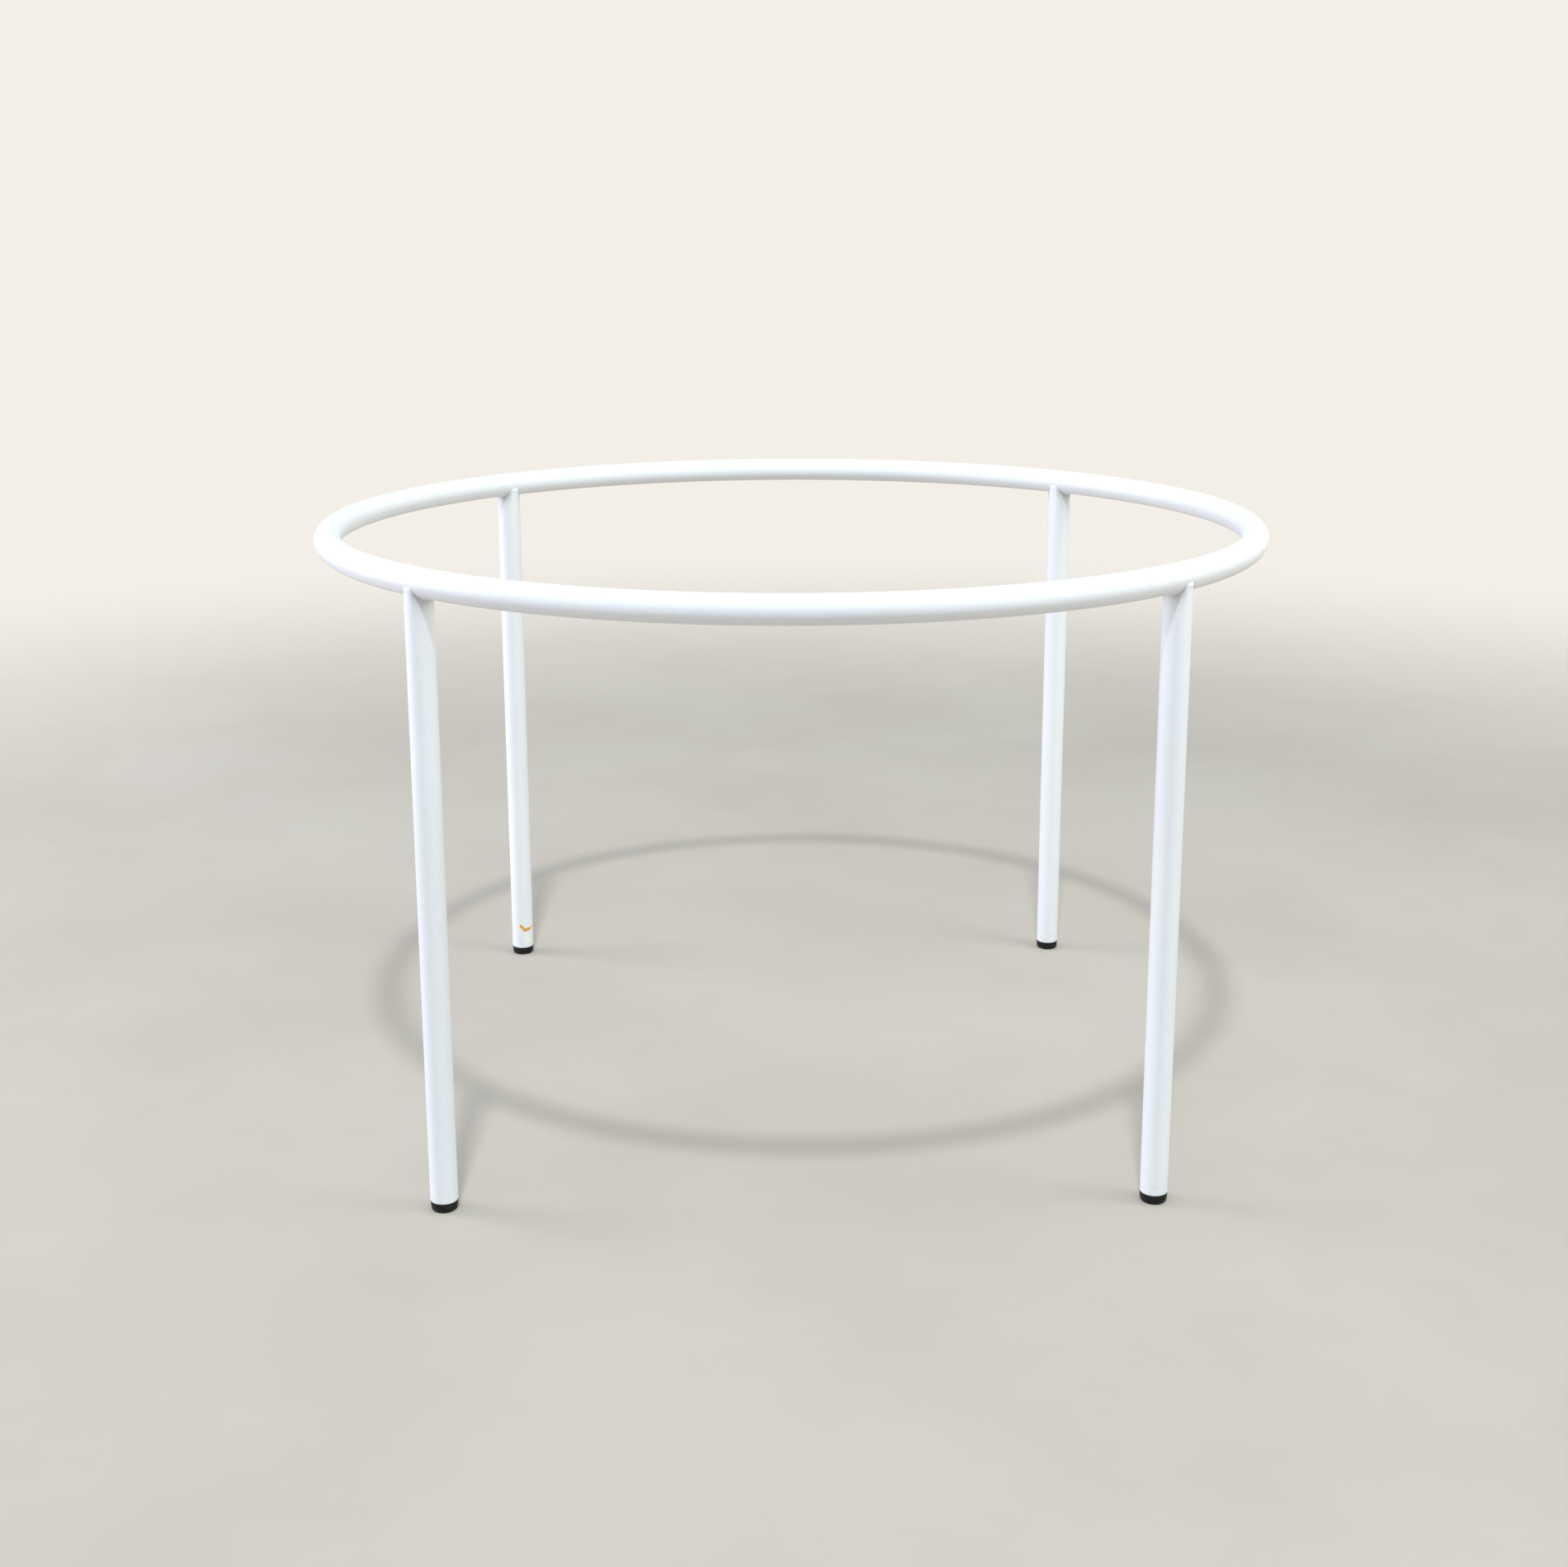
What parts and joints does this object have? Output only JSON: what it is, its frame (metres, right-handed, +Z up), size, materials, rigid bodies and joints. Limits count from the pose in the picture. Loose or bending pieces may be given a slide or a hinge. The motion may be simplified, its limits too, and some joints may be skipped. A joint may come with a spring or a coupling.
{
  "type": "ring stand",
  "caption": "Low white ring of round steel tube on straight tube legs with black insert feet, for standing a wreath, pot, basket or round top on.",
  "frame": {"origin": "on the floor, below the centre of the ring", "axes": "+Z up, -Y towards the front; the four legs stand at 45 degrees between X and Y"},
  "size_m": [0.55, 0.55, 0.35],
  "materials": {
    "powder_coat": "white powder coat on steel, semi-matt, fine orange peel",
    "foot_plastic": "black moulded polyethylene, matt"
  },
  "bodies": {
    "root": {"ring": "powder_coat", "ring_seam_weld": "powder_coat", "leg_front_left": "powder_coat", "leg_front_right": "powder_coat", "leg_back_right": "powder_coat", "leg_back_left": "powder_coat", "weld_front_left": "powder_coat", "weld_front_right": "powder_coat", "weld_back_right": "powder_coat", "weld_back_left": "powder_coat", "foot_front_left": "foot_plastic", "foot_front_right": "foot_plastic", "foot_back_right": "foot_plastic", "foot_back_left": "foot_plastic"}
  },
  "joints": []
}
